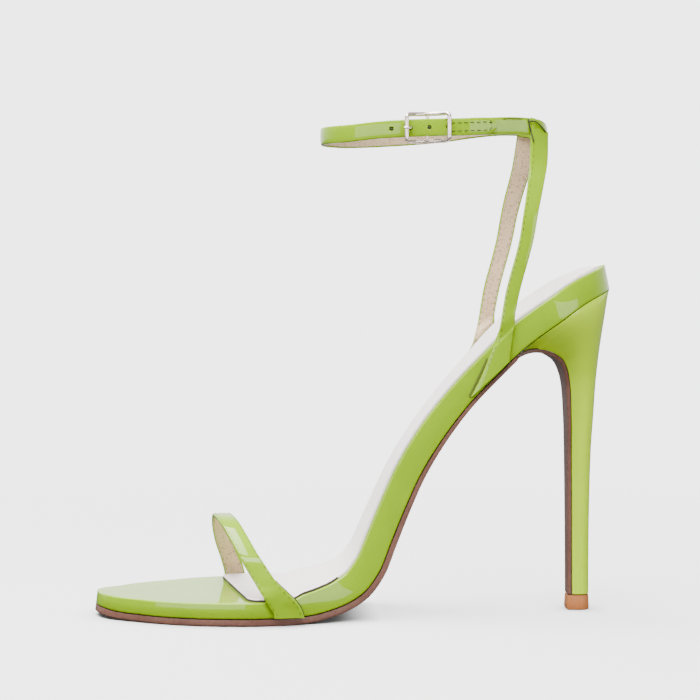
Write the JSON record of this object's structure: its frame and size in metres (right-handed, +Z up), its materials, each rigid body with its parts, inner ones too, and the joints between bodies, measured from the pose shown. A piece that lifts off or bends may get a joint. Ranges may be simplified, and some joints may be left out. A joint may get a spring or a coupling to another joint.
{
  "type": "heeled sandal",
  "caption": "Lime patent stiletto sandal with a diagonal toe strap, back straps at each side of the heel and a buckled ankle strap",
  "frame": {"origin": "On the floor under the middle of the forefoot tread, with the shoe standing", "axes": "+X from the toe to the heel, +Y to the inner side of the foot, +Z up"},
  "size_m": [0.1941, 0.0734, 0.1874],
  "materials": {
    "lime_patent": "lime green patent leather with a high gloss coat",
    "sole_brown": "smooth reddish brown sole leather with a painted edge",
    "sock_pale": "pale pinkish white lining leather, matt",
    "tip_tan": "orange brown hard rubber heel tip",
    "rose_metal": "polished pale rose coloured metal"
  },
  "bodies": {
    "root": {"outsole": "sole_brown", "footbed": "lime_patent", "sock": "sock_pale", "heel": "lime_patent", "top_piece": "tip_tan", "toe_strap": "lime_patent", "ankle_upper": "lime_patent", "buckle_frame": "rose_metal", "buckle_prong": "rose_metal"}
  },
  "joints": []
}
